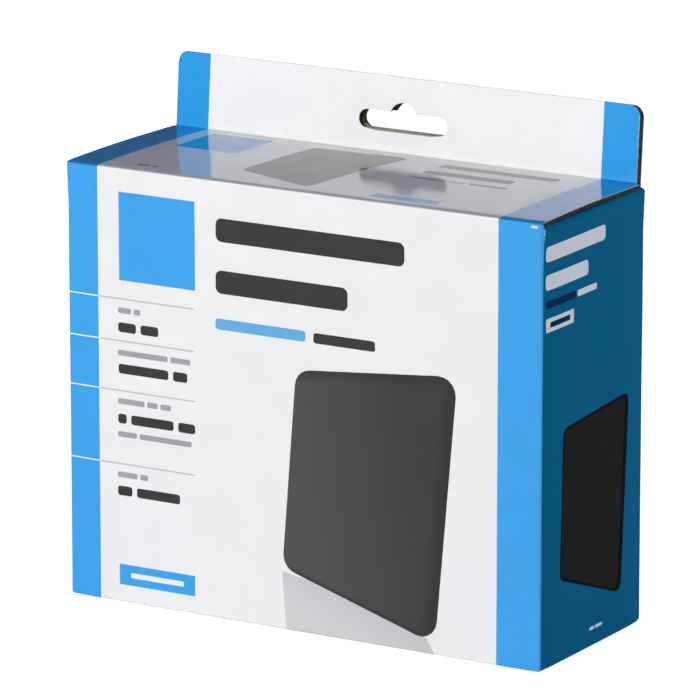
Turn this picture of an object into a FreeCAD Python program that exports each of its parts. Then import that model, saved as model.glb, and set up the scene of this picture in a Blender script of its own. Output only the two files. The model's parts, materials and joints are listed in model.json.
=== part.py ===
import FreeCAD, Part
import math
import os

from FreeCAD import Vector

# A retail carton folded from printed micro-flute board, closed, standing on its base.
# It has a hang tab of two layers: the back panel runs up as the rear layer, and the lid,
# which hinges on the fold at the front, turns up at the back as the front layer.
# X runs across the front to the right, Y from the front to the back, Z up, in millimetres.
# The origin is the middle of the base.

# Carton, measured outside
WIDTH = 171.0
DEPTH = 65.5
HEIGHT = 141.0
BOARD = 1.5

# Outside radius of every fold
FOLD = 2.0

# Lid and hang tab
LID_INSET = 1.1
LID_CLEARANCE = 0.3
HINGE_GAP = 0.12
TAB_HEIGHT = 24.0
TAB_INSET = 1.9
TAB_CORNER = 4.5
TAB_LEAN = 4.5
TAB_LAYER_GAP = 0.25
TAB_FOLD_INSIDE = 0.5

# Hanger slot, a wide slot with a round rise in the middle for a single peg
SLOT_WIDTH = 32.0
SLOT_HEIGHT = 6.0
SLOT_CORNER = 2.9
SLOT_ABOVE_LID = 9.9
SLOT_RISE_RADIUS = 5.0
SLOT_RISE_ABOVE_LID = 11.1
REAR_SLOT_SHIFT = 1.0

# Dust flaps, folded in from the side panels under the lid
DUST_LENGTH = 42.0
DUST_SLIT = 0.8
DUST_TAPER = 6.0
DUST_CORNER = 3.0

# Glued bottom: the flaps that fold in from the sides lie inside, and the others meet below
FLOOR_FLAP_REACH = 58.0
FLOOR_FLAP_TAPER = 14.0
FLOOR_FLAP_GAP = 0.8
SEAM_WIDTH = 0.5
SEAM_DEPTH = 0.7
SEAM_BRIDGE = 2.0
TONGUE_WIDTH = 36.0
TONGUE_REACH = 12.0

# Glued upright seam at the left rear corner, with its flap inside the left panel
GLUE_FLAP_WIDTH = 13.0
GLUE_FLAP_SLOPE = 5.0
GLUE_FLAP_SHORT = 6.0

# Places that follow from the sizes above
LEAN = math.radians(TAB_LEAN)
FRONT = -DEPTH / 2
BACK = DEPTH / 2
SHOULDER = HEIGHT - BOARD - LID_CLEARANCE
LID_WIDTH = WIDTH - 2 * LID_INSET
TAB_WIDTH = WIDTH - 2 * TAB_INSET
HINGE_Y = FRONT + FOLD
TAB_LENGTH = TAB_HEIGHT / math.cos(LEAN)
LAYERS = 2 * BOARD + TAB_LAYER_GAP
UP_TAB = Vector(0, math.sin(LEAN), math.cos(LEAN))
OUT_OF_TAB = Vector(0, math.cos(LEAN), -math.sin(LEAN))
TAB_ROOT = Vector(0, BACK, HEIGHT)


def at(y, z):
    """A point of an upright profile that is later drawn out along X."""
    return Vector(0, y, z)


def bend(centre, radius, start, middle, end):
    """The arc of a fold about its centre, through three directions."""
    return Part.Arc(*[centre + way.normalize() * radius for way in (start, middle, end)])


def drawn_across(curves, width):
    """A solid of the closed profile that the curves make, drawn out to a width about X = 0."""
    wire = Part.Wire([curve.toShape() for curve in curves])
    face = Part.Face(wire)
    face.translate(Vector(-width / 2, 0, 0))
    return face.extrude(Vector(width, 0, 0))


def polygon_wire(points):
    """A closed wire through the points."""
    return Part.makePolygon(points + [points[0]])


def plate(points, thickness):
    """A flat plate of an outline in the XY plane, raised by its thickness."""
    return Part.Face(polygon_wire(points)).extrude(Vector(0, 0, thickness))


def folded_block(width, depth, low, high, fold):
    """A closed block with all its edges rounded, as folded board rounds them."""
    block = Part.makeBox(width, depth, high - low, Vector(-width / 2, -depth / 2, low))
    return block.makeFillet(fold, block.Edges)


def flap_outline(side, root, reach, half_depth, taper):
    """Outline of a flap that folds in from the left (-1) or right (1) panel and narrows to its end."""
    tip = root - reach
    shoulder = root - reach / 2
    return [
        Vector(side * root, -half_depth, 0),
        Vector(side * shoulder, -half_depth, 0),
        Vector(side * tip, taper - half_depth, 0),
        Vector(side * tip, half_depth - taper, 0),
        Vector(side * shoulder, half_depth, 0),
        Vector(side * root, half_depth, 0),
    ]


def dust_flap(side):
    """The space that one dust flap keeps in the carton's top layer."""
    half_depth = DEPTH / 2 - BOARD - DUST_SLIT
    outline = flap_outline(side, WIDTH / 2, DUST_LENGTH, half_depth, DUST_TAPER)
    flap = plate(outline, 4 * BOARD)
    tip = side * (WIDTH / 2 - DUST_LENGTH)
    corners = [
        edge
        for edge in flap.Edges
        if edge.BoundBox.ZLength > BOARD and abs(edge.CenterOfMass.x - tip) < BOARD / 10
    ]
    flap = flap.makeFillet(DUST_CORNER, corners)
    flap.translate(Vector(0, 0, SHOULDER - 2 * BOARD))
    return flap


def walls():
    """The four panels with their folds, the dust flaps and the bottom, as one wall of board."""
    outside = folded_block(WIDTH, DEPTH, 0, SHOULDER, FOLD)
    inside = folded_block(WIDTH - 2 * BOARD, DEPTH - 2 * BOARD, BOARD, SHOULDER - BOARD, FOLD - BOARD)
    mouth_width = WIDTH - 2 * FOLD
    mouth_depth = DEPTH - 2 * BOARD
    corner = Vector(-mouth_width / 2, -mouth_depth / 2, SHOULDER - 1.5 * BOARD)
    mouth = Part.makeBox(mouth_width, mouth_depth, 3 * BOARD, corner)
    for side in (-1, 1):
        mouth = mouth.cut(dust_flap(side))
    return outside.cut(inside).cut(mouth)


def front_crease():
    """The head of the front panel and the quarter bend that the lid hinges on."""
    root = SHOULDER - 2 * FOLD
    centre = at(HINGE_Y, HEIGHT - FOLD)
    forward = Vector(0, -1, 0)
    slanting = Vector(0, -1, 1)
    up = Vector(0, 0, 1)
    outer = bend(centre, FOLD, forward, slanting, up)
    inner = bend(centre, FOLD - BOARD, up, slanting, forward)
    profile = [
        Part.LineSegment(at(FRONT, root), at(FRONT, HEIGHT - FOLD)),
        outer,
        Part.LineSegment(at(HINGE_Y, HEIGHT), at(HINGE_Y, HEIGHT - BOARD)),
        inner,
        Part.LineSegment(at(FRONT + BOARD, HEIGHT - FOLD), at(FRONT + BOARD, root)),
        Part.LineSegment(at(FRONT + BOARD, root), at(FRONT, root)),
    ]
    return drawn_across(profile, LID_WIDTH)


def hanger_slot(shift):
    """A cutter for the hanger slot, square to the leaning tab and moved sideways by shift."""
    reach = 4 * LAYERS
    low = HEIGHT + SLOT_ABOVE_LID - SLOT_HEIGHT / 2
    slot = Part.makeBox(SLOT_WIDTH, reach, SLOT_HEIGHT, Vector(-SLOT_WIDTH / 2, BACK - reach / 2, low))
    ends = [edge for edge in slot.Edges if edge.BoundBox.YLength > reach / 2]
    slot = slot.makeFillet(SLOT_CORNER, ends)
    rise_base = Vector(0, BACK - reach / 2, HEIGHT + SLOT_RISE_ABOVE_LID)
    rise = Part.makeCylinder(SLOT_RISE_RADIUS, reach, rise_base, Vector(0, 1, 0))
    below = Part.makeBox(
        2 * SLOT_RISE_RADIUS,
        reach,
        2 * SLOT_RISE_RADIUS,
        Vector(-SLOT_RISE_RADIUS, BACK - reach / 2, low + SLOT_HEIGHT / 2 - 2 * SLOT_RISE_RADIUS),
    )
    cutter = slot.fuse(rise.cut(below)).removeSplitter()
    cutter.translate(Vector(shift, 0, 0))
    cutter.rotate(TAB_ROOT, Vector(1, 0, 0), -TAB_LEAN)
    return cutter


def round_tab_corners(layer):
    """Rounds the two upper corners of one layer of the tab."""
    top = layer.BoundBox.ZMax
    corners = [
        edge
        for edge in layer.Edges
        if edge.BoundBox.XLength < BOARD / 10
        and edge.Length < 1.5 * BOARD
        and top - edge.CenterOfMass.z < BOARD
    ]
    return layer.makeFillet(TAB_CORNER, corners)


def rear_tab_layer():
    """The back panel's run up into the hang tab, with its slot."""
    root = SHOULDER - 2 * FOLD
    head = TAB_ROOT + UP_TAB * TAB_LENGTH
    turn = at(BACK - BOARD, HEIGHT + BOARD * math.tan(LEAN / 2))
    points = [
        at(BACK, root),
        TAB_ROOT,
        head,
        head - OUT_OF_TAB * BOARD,
        turn,
        at(BACK - BOARD, root),
    ]
    edges = [Part.LineSegment(a, b) for a, b in zip(points, points[1:] + points[:1])]
    layer = round_tab_corners(drawn_across(edges, TAB_WIDTH))
    return layer.cut(hanger_slot(REAR_SLOT_SHIFT))


def glue_flap():
    """The flap inside the left panel that closes the tube at the left rear corner."""
    low = BOARD + GLUE_FLAP_SHORT
    high = SHOULDER - BOARD - GLUE_FLAP_SHORT
    root = BACK - BOARD
    tip = root - GLUE_FLAP_WIDTH
    inside_left = BOARD - WIDTH / 2
    outline = [
        Vector(inside_left, root, low),
        Vector(inside_left, tip, low + GLUE_FLAP_SLOPE),
        Vector(inside_left, tip, high - GLUE_FLAP_SLOPE),
        Vector(inside_left, root, high),
    ]
    return Part.Face(polygon_wire(outline)).extrude(Vector(BOARD, 0, 0))


def upright_seam():
    """The shallow joint where the left panel's cut edge meets the rear fold."""
    y = BACK - FOLD - SEAM_WIDTH
    height = SHOULDER - 4 * FOLD
    corner = Vector(-WIDTH / 2 - SEAM_DEPTH, y, 2 * FOLD)
    return Part.makeBox(2 * SEAM_DEPTH, SEAM_WIDTH, height, corner)


def floor_flap(side):
    """One glued bottom flap that lies on the inside of the bottom."""
    half_depth = DEPTH / 2 - BOARD - FLOOR_FLAP_GAP
    outline = flap_outline(side, WIDTH / 2 - BOARD, FLOOR_FLAP_REACH, half_depth, FLOOR_FLAP_TAPER)
    flap = plate(outline, BOARD)
    flap.translate(Vector(0, 0, BOARD))
    return flap


def seam(start, end):
    """A shallow joint between two bottom flaps, short of both its ends by the bridge."""
    run = end - start
    length = run.Length - 2 * SEAM_BRIDGE
    joint = Part.makeBox(length, SEAM_WIDTH, 2 * SEAM_DEPTH, Vector(SEAM_BRIDGE, -SEAM_WIDTH / 2, -SEAM_DEPTH))
    joint.rotate(Vector(), Vector(0, 0, 1), math.degrees(math.atan2(run.y, run.x)))
    joint.translate(start)
    return joint


def bottom_seams():
    """The joints of the bottom seen from below: four mitres, and a middle line with its tongue."""
    meet = WIDTH / 2 - DEPTH / 2
    tongue = TONGUE_WIDTH / 2
    joints = []
    for side in (-1, 1):
        for back in (-1, 1):
            corner = Vector(side * WIDTH / 2, back * DEPTH / 2, 0)
            inward = Vector(-side, -back, 0) * FOLD
            joints.append(seam(corner + inward, Vector(side * meet, 0, 0)))
        joints.append(seam(Vector(side * meet, 0, 0), Vector(side * tongue, 0, 0)))
        joints.append(seam(Vector(side * tongue, 0, 0), Vector(side * tongue, TONGUE_REACH, 0)))
    joints.append(seam(Vector(-tongue, TONGUE_REACH, 0), Vector(tongue, TONGUE_REACH, 0)))
    return joints


def carton():
    """The carton without its lid: one folded and glued sheet."""
    body = walls()
    for piece in (front_crease(), rear_tab_layer(), glue_flap(), floor_flap(-1), floor_flap(1)):
        body = body.fuse(piece)
    body = body.removeSplitter()
    for joint in bottom_seams() + [upright_seam()]:
        body = body.cut(joint)
    return body


def lid_flap():
    """The lid from the front fold to the back, and its turned-up end, the tab's front layer."""
    start = HINGE_Y + HINGE_GAP
    turn = at(BACK - LAYERS / math.cos(LEAN), HEIGHT)
    head = turn + UP_TAB * (TAB_LENGTH + LAYERS * math.tan(LEAN))
    setback = TAB_FOLD_INSIDE * math.tan((math.pi / 2 - LEAN) / 2)
    centre = turn + at(-setback, TAB_FOLD_INSIDE)
    down = Vector(0, 0, -1)
    outer_radius = TAB_FOLD_INSIDE + BOARD
    inner = bend(centre, TAB_FOLD_INSIDE, down, turn - centre, Vector(OUT_OF_TAB))
    outer = bend(centre, outer_radius, Vector(OUT_OF_TAB), turn - centre, down)
    profile = [
        Part.LineSegment(at(start, HEIGHT), inner.StartPoint),
        inner,
        Part.LineSegment(inner.EndPoint, head),
        Part.LineSegment(head, head + OUT_OF_TAB * BOARD),
        Part.LineSegment(head + OUT_OF_TAB * BOARD, outer.StartPoint),
        outer,
        Part.LineSegment(outer.EndPoint, at(start, HEIGHT - BOARD)),
        Part.LineSegment(at(start, HEIGHT - BOARD), at(start, HEIGHT)),
    ]
    lid = drawn_across(profile, LID_WIDTH)
    shoulder_y = turn.y - outer_radius
    margin = TAB_INSET - LID_INSET
    for x in (-LID_WIDTH / 2, LID_WIDTH / 2 - margin):
        corner = Vector(x, shoulder_y, HEIGHT - 2 * BOARD)
        lid = lid.cut(Part.makeBox(margin, DEPTH, 2 * TAB_HEIGHT, corner))
    return round_tab_corners(lid).cut(hanger_slot(0))


def export(node, shape):
    """Writes one node, after a test that it is a single valid solid."""
    assert shape.isValid() and len(shape.Solids) == 1, node
    shape.Solids[0].exportStep(f"parts/{node}.step")
    print(node, round(shape.Volume, 1), shape.BoundBox)


os.makedirs("parts", exist_ok=True)
export("carton", carton())
export("lid_flap", lid_flap())
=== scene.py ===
"""A printed retail carton with a hang tab, folded up from flat sheets of micro-flute board.

Each sheet is laid out flat, printed and cut the way a carton maker does it. It is then folded
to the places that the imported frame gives, and gets the thickness of the board.
"""

import json
import logging
import math
from collections.abc import Callable, Iterable
from dataclasses import dataclass, field
from enum import IntEnum

import bmesh
import bpy
from bmesh.types import BMesh, BMFace, BMVert
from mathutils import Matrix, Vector, noise

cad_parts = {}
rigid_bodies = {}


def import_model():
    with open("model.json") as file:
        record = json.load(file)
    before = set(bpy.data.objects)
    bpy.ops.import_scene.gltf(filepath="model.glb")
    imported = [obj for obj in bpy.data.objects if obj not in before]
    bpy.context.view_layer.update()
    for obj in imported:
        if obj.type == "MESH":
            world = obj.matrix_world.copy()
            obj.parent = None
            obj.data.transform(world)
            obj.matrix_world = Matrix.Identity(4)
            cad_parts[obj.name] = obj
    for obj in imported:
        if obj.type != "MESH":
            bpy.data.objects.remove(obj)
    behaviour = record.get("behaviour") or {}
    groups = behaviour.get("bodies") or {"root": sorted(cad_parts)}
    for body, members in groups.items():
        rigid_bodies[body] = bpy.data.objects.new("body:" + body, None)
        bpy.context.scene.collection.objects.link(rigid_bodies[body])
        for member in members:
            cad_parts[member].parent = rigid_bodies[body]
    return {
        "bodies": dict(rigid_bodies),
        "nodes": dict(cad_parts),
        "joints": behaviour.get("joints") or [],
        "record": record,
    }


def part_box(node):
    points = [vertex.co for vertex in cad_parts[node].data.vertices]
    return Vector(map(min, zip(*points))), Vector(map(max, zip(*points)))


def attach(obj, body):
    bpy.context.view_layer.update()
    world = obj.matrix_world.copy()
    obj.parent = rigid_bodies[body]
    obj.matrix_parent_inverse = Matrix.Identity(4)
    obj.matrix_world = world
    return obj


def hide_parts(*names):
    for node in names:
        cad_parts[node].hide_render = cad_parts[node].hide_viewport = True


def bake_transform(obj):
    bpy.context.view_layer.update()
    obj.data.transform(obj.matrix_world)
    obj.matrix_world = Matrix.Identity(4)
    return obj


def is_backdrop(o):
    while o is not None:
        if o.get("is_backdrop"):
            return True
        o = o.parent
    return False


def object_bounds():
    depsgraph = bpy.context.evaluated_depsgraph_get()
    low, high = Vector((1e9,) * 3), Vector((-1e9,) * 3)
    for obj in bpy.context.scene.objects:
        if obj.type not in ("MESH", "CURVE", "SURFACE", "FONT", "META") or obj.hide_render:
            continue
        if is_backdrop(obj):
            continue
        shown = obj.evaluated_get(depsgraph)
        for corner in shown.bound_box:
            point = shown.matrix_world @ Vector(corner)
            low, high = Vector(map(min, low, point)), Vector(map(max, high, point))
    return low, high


Colour = tuple[float, float, float]
Point = tuple[float, float]
Span = tuple[float, float]
Measure = Callable[[float, float], float]
Placing = Callable[[float, float], Vector]
Socket = bpy.types.NodeSocket

LOG = logging.getLogger("carton")
MM = 0.001
SNAP = 2e-6
QUARTER = math.pi / 2

# The range that most values of a noise texture lie in
MID_NOISE: Span = (0.3, 0.7)

# The corners of the pictured panel on the front, in millimetres
PICTURE_PANEL: tuple[Point, ...] = ((-6.4, 20.4), (48.5, 3.6), (56.1, 89.7), (-1.4, 84.4))

# How far beside a fold a sheet's grid has its lines, and how many parts a fold has
FOLD_INSETS: tuple[float, ...] = (1.2 * MM, 2.6 * MM, 4.5 * MM, 7.0 * MM, 10.0 * MM)
FOLD_STEPS = 6


class Finish(IntEnum):
    """Every finish of the board, in the order of a sheet's material slots."""

    WHITE = 0
    BLUE = 1
    CHARCOAL = 2
    PICTURE = 3
    TOP_PICTURE = 4
    SKY = 5
    GREY = 6
    HAIRLINE = 7
    HAZE = 8
    DEEP_BLUE = 9
    PALE = 10
    NAVY = 11
    SIDE_PICTURE = 12
    SIDE_RIM = 13
    TAB_WHITE = 14
    TAB_BLUE = 15
    KRAFT = 16
    # The two cut finishes: a dark copy with painted shade, and a pale copy with painted light
    CUT_EDGE = 17
    CRUSHED_EDGE = 18


class Shader:
    """A material's node tree, with short ways to add nodes and link them."""

    def __init__(self, name: str) -> None:
        """Starts a material with a Principled surface.

        Args:
            name: The material's name.
        """
        self.material = bpy.data.materials.new(name)
        self.material.use_nodes = True
        self.tree = self.material.node_tree
        self.surface = self.tree.nodes["Principled BSDF"]

    def add(self, kind: str, inputs: dict | None = None, **settings: object) -> bpy.types.Node:
        """Adds a node.

        Args:
            kind: The node's type name without its ShaderNode prefix.
            inputs: Socket names or numbers, each with a value or with an output to link.
            settings: Attributes of the node itself.

        Returns:
            The new node.
        """
        node = self.tree.nodes.new("ShaderNode" + kind)
        for name, value in settings.items():
            setattr(node, name, value)
        self.feed(node, inputs or {})
        return node

    def feed(self, node: bpy.types.Node, inputs: dict) -> None:
        """Sets or links inputs of a node.

        Args:
            node: The node.
            inputs: Socket names or numbers, each with a value or with an output to link.
        """
        for name, value in inputs.items():
            if isinstance(value, Socket):
                self.tree.links.new(value, node.inputs[name])
            else:
                node.inputs[name].default_value = value

    def math(self, operation: str, *values: Socket | float) -> Socket:
        """The output of a Math node on one, two or three values."""
        return self.add("Math", dict(enumerate(values)), operation=operation).outputs[0]

    def ramp(
        self, value: Socket, low: float, high: float, start: float = 0.0, end: float = 1.0
    ) -> Socket:
        """A value that goes smoothly from start to end as another goes from low to high."""
        inputs = {"Value": value, "From Min": low, "From Max": high, "To Min": start, "To Max": end}
        return self.add("MapRange", inputs, interpolation_type="SMOOTHSTEP").outputs["Result"]

    def mix(self, share: Socket, first: Socket | Colour, second: Socket | Colour) -> Socket:
        """Mixes two colours.

        Args:
            share: How much of the second colour there is, from 0 to 1.
            first: A colour, or an output that gives one.
            second: The other colour.

        Returns:
            The mixed colour.
        """
        node = self.add("Mix", {0: share}, data_type="RGBA")
        for place, colour in ((6, first), (7, second)):
            self.feed(node, {place: colour if isinstance(colour, Socket) else (*colour, 1.0)})
        return node.outputs[2]

    def noise(self, vector: Socket, scale: float, detail: float) -> Socket:
        """The value of a noise texture."""
        return self.add("TexNoise", {"Vector": vector, "Scale": scale, "Detail": detail}).outputs["Fac"]

    def bump(self, height: Socket, strength: float, distance: float) -> Socket:
        """The normals of a surface of that height."""
        inputs = {"Height": height, "Strength": strength, "Distance": distance}
        return self.add("Bump", inputs).outputs[0]

    def spot(self) -> Socket:
        """The Object coordinates."""
        return self.add("TexCoord").outputs["Object"]

    def flat(self) -> Socket:
        """The place on the flat sheet: across, along, and 0 to 1 through the board."""
        return self.add("Attribute", attribute_name="flat").outputs["Vector"]

    def flat_axes(self) -> list[Socket]:
        """The three parts of the place on the flat sheet."""
        return list(self.add("SeparateXYZ", {0: self.flat()}).outputs)

    def wear(self) -> Socket:
        """How far the sheet is rubbed, from 0 to 1; the kraft turns the same measure into painted shade."""
        return self.add("Attribute", attribute_name="wear").outputs["Fac"]

    def reach(self, start: Vector, run: Vector) -> Socket:
        """Measures the flat sheet along a direction.

        Args:
            start: The point where the measure is 0, across and along.
            run: The direction, as long as the measure grows in a metre.

        Returns:
            The measure.
        """
        across, along, _ = self.flat_axes()
        measure = self.math("MULTIPLY_ADD", across, run.x, -start.dot(run))
        return self.math("MULTIPLY_ADD", along, run.y, measure)


@dataclass(frozen=True)
class Board:
    """The fluted board that every sheet is cut from, in metres."""

    flute_pitch: float = 3.3 * MM

    def flute_wave(self, shader: Shader) -> Socket:
        """A wave from -1 to 1 that goes over one flute after the other along the sheet."""
        turns = shader.math("MULTIPLY", shader.flat_axes()[1], 2 * math.pi / self.flute_pitch)
        return shader.math("SINE", turns)


@dataclass(frozen=True)
class Varnish:
    """The varnish over the ink: its shine, and how much the flutes and the paper show in it."""

    gloss: float
    roughness: float
    coat: float = 0.0
    washboard: float = 0.10
    peel: float = 0.3


WRAP_VARNISH = Varnish(gloss=0.4, roughness=0.12)
LID_VARNISH = Varnish(gloss=0.5, roughness=0.105, coat=0.26, washboard=0.22, peel=0.9)
SATIN_VARNISH = Varnish(gloss=0.08, roughness=0.24)
MATT_VARNISH = Varnish(gloss=0.005, roughness=0.30, washboard=0.06)


@dataclass(frozen=True)
class PrintedInk:
    """Ink under varnish on coated white paper, rubbed through to the paper along folds."""

    name: str
    colour: Colour
    varnish: Varnish
    paper: Colour = (0.74, 0.74, 0.73)
    press_range: Span = (0.985, 1.01)
    shine_range: Span = (0.8, 1.3)
    bare_range: Span = (0.86, 1.10)
    bare_dullness: float = 0.45
    mottle_scale: float = 70.0
    fibre_scale: float = 900.0
    grain_scale: float = 1400.0
    peel_scale: float = 320.0
    grain: float = 0.10
    relief: float = 0.02 * MM

    def tint(self, shader: Shader, mottle: Socket) -> Socket:
        """The ink's colour with the slight unevenness of a press."""
        dark, light = (tuple(part * share for part in self.colour) for share in self.press_range)
        return shader.mix(shader.ramp(mottle, *MID_NOISE), dark, light)

    def material(self, board: Board) -> bpy.types.Material:
        """Builds the material.

        Args:
            board: The board that the ink is printed on, for its flutes.

        Returns:
            The new material.
        """
        varnish = self.varnish
        shader = Shader(self.name)
        spot = shader.spot()
        mottle = shader.noise(spot, self.mottle_scale, 3.0)
        fibres = shader.noise(spot, self.fibre_scale, 4.0)
        bare = shader.ramp(shader.math("ADD", fibres, shader.wear()), *self.bare_range)
        smooth, rough = (varnish.roughness * share for share in self.shine_range)
        shine = shader.ramp(mottle, *MID_NOISE, smooth, rough)
        height = shader.math("MULTIPLY", board.flute_wave(shader), varnish.washboard)
        grain = shader.noise(spot, self.grain_scale, 2.0)
        height = shader.math("MULTIPLY_ADD", grain, self.grain, height)
        peel = shader.noise(spot, self.peel_scale, 1.0)
        height = shader.math("MULTIPLY_ADD", peel, varnish.peel, height)
        inputs = {
            "Base Color": shader.mix(bare, self.tint(shader, mottle), self.paper),
            "Roughness": shader.math("MULTIPLY_ADD", bare, self.bare_dullness, shine),
            "Normal": shader.bump(height, 1.0, self.relief),
            "Specular IOR Level": varnish.gloss,
            "Coat Weight": varnish.coat,
            "Coat Roughness": varnish.roughness,
        }
        shader.feed(shader.surface, inputs)
        return shader.material


@dataclass(frozen=True)
class FadingInk(PrintedInk):
    """Ink that goes over to a second colour between two points of the sheet, in millimetres."""

    faded: Colour = (0.84, 0.84, 0.85)
    start: Point = (0.0, 0.0)
    end: Point = (0.0, -15.0)

    def tint(self, shader: Shader, mottle: Socket) -> Socket:
        """The ink at its start, going over to the faded colour at its end.

        Args:
            shader: The material's nodes.
            mottle: The unevenness of the press, which a fading ink doesn't show.

        Returns:
            The colour.
        """
        start = Vector(self.start) * MM
        run = Vector(self.end) * MM - start
        share = shader.reach(start, run / run.length_squared)
        return shader.mix(shader.ramp(share, 0.0, 1.0), self.colour, self.faded)


@dataclass(frozen=True)
class PanelEdge:
    """An edge of a pictured panel, counter-clockwise: where it runs, how far it darkens and how much."""

    start: Point
    end: Point
    width: float
    strength: float

    def share(self, shader: Shader) -> Socket:
        """Finds how much of the rim's colour a place of the sheet takes.

        Args:
            shader: The material's nodes.

        Returns:
            The share.
        """
        start = Vector(self.start) * MM
        run = Vector(self.end) * MM - start
        inward = Vector((-run.y, run.x)).normalized() / (self.width * MM)
        return shader.ramp(shader.reach(start, inward), 0.0, 1.0, self.strength, 0.0)


@dataclass(frozen=True)
class PanelInk(FadingInk):
    """The ink of a pictured panel, darker towards its edges."""

    rim: Colour = (0.002, 0.002, 0.002)
    edges: tuple[PanelEdge, ...] = ()

    def tint(self, shader: Shader, mottle: Socket) -> Socket:
        """The fading ink, going over to the rim's colour at each edge.

        Args:
            shader: The material's nodes.
            mottle: The unevenness of the press.

        Returns:
            The colour.
        """
        colour = super().tint(shader, mottle)
        for edge in self.edges:
            colour = shader.mix(edge.share(shader), colour, self.rim)
        return colour


@dataclass(frozen=True)
class Kraft:
    """The brown paper on the inside of the board, with long fibres, faint flute lines, and painted shade
    where the sheet's measure is high, mostly round the rear slot.
    """

    name: str
    light: Colour = (0.43, 0.34, 0.235)
    dark: Colour = (0.315, 0.24, 0.155)
    # Painted shade: near black where shade falls between the tab's layers round the rear slot
    painted_shade: Colour = (0.032, 0.027, 0.020)
    fibre_scale: tuple[float, float, float] = (900.0, 160.0, 1.0)
    cloud_scale: float = 45.0
    cloud_share: float = 0.4
    flute_share: float = 0.06
    flute_height: float = 0.5
    shade_range: Span = (0.45, 0.95)
    painted_shade_range: Span = (0.25, 0.5)
    roughness: Span = (0.72, 0.9)
    gloss: float = 0.25
    relief: float = 0.05 * MM

    def material(self, board: Board) -> bpy.types.Material:
        """Builds the material.

        Args:
            board: The board that the paper is glued to, for its flutes.

        Returns:
            The new material.
        """
        shader = Shader(self.name)
        stretch = {"Vector": shader.flat(), "Scale": self.fibre_scale}
        fibres = shader.noise(shader.add("Mapping", stretch).outputs[0], 1.0, 5.0)
        cloud = shader.noise(shader.spot(), self.cloud_scale, 3.0)
        wave = board.flute_wave(shader)
        shade = shader.math("MULTIPLY_ADD", cloud, self.cloud_share, fibres)
        shade = shader.math("MULTIPLY_ADD", wave, self.flute_share, shade)
        colour = shader.mix(shader.ramp(shade, *self.shade_range), self.dark, self.light)
        # Painted shade where the sheet's measure of rubbing and shade is high, mostly round the rear slot
        painted_shade_share = shader.ramp(shader.wear(), *self.painted_shade_range)
        height = shader.math("MULTIPLY_ADD", wave, self.flute_height, fibres)
        inputs = {
            "Base Color": shader.mix(painted_shade_share, colour, self.painted_shade),
            "Roughness": shader.ramp(fibres, *MID_NOISE, *self.roughness),
            "Normal": shader.bump(height, 0.5, self.relief),
            "Specular IOR Level": self.gloss,
        }
        shader.feed(shader.surface, inputs)
        return shader.material


@dataclass(frozen=True)
class CutEdge:
    """A cut through the board: two liners with the fluted paper between them.

    A cut across the flutes shows their wave, and a cut along them shows straight layers. The
    spans say where one layer goes over to the next, in parts of the board's thickness. Its
    colours are painted shade: the hollows between the flutes are painted near black, and the
    liners and flutes are far darker than the paper. A pale copy with painted light serves cuts that face up.
    """

    name: str
    coated: Colour = (0.52, 0.52, 0.51)
    liner: Colour = (0.048, 0.036, 0.025)
    flute: Colour = (0.040, 0.032, 0.024)
    # Painted shade: the colour put in the hollows between the flutes
    hollow_shade: Colour = (0.014, 0.012, 0.010)
    front_liner: Span = (0.11, 0.17)
    back_liner: Span = (0.80, 0.86)
    flute_edge: Span = (0.06, 0.13)
    flute_slope: Span = (0.06, 0.2)
    flute_height: float = 0.27
    flute_relief: float = 0.6
    rough_scale: float = 1100.0
    raggedness: float = 0.16
    roughness: float = 0.9
    gloss: float = 0.2
    relief: float = 0.12 * MM

    def material(self, board: Board) -> bpy.types.Material:
        """Builds the material.

        Args:
            board: The board that is cut, for its flutes.

        Returns:
            The new material.
        """
        shader = Shader(self.name)
        rough_cut = shader.noise(shader.spot(), self.rough_scale, 3.0)
        off_cut = shader.math("SUBTRACT", rough_cut, 0.5)
        deep = shader.math("MULTIPLY_ADD", off_cut, self.raggedness, shader.flat_axes()[2])
        middle = shader.math("MULTIPLY_ADD", board.flute_wave(shader), self.flute_height, 0.5)
        off = shader.math("ABSOLUTE", shader.math("SUBTRACT", deep, middle))
        core = shader.mix(shader.ramp(off, *self.flute_edge), self.flute, self.hollow_shade)
        backed = shader.mix(shader.ramp(deep, *self.back_liner), core, self.liner)
        ridge = shader.ramp(off, *self.flute_slope, self.flute_relief, 0.0)
        inputs = {
            "Base Color": shader.mix(shader.ramp(deep, *self.front_liner), self.coated, backed),
            "Roughness": self.roughness,
            "Normal": shader.bump(shader.math("ADD", rough_cut, ridge), 0.7, self.relief),
            "Specular IOR Level": self.gloss,
        }
        shader.feed(shader.surface, inputs)
        return shader.material


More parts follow.
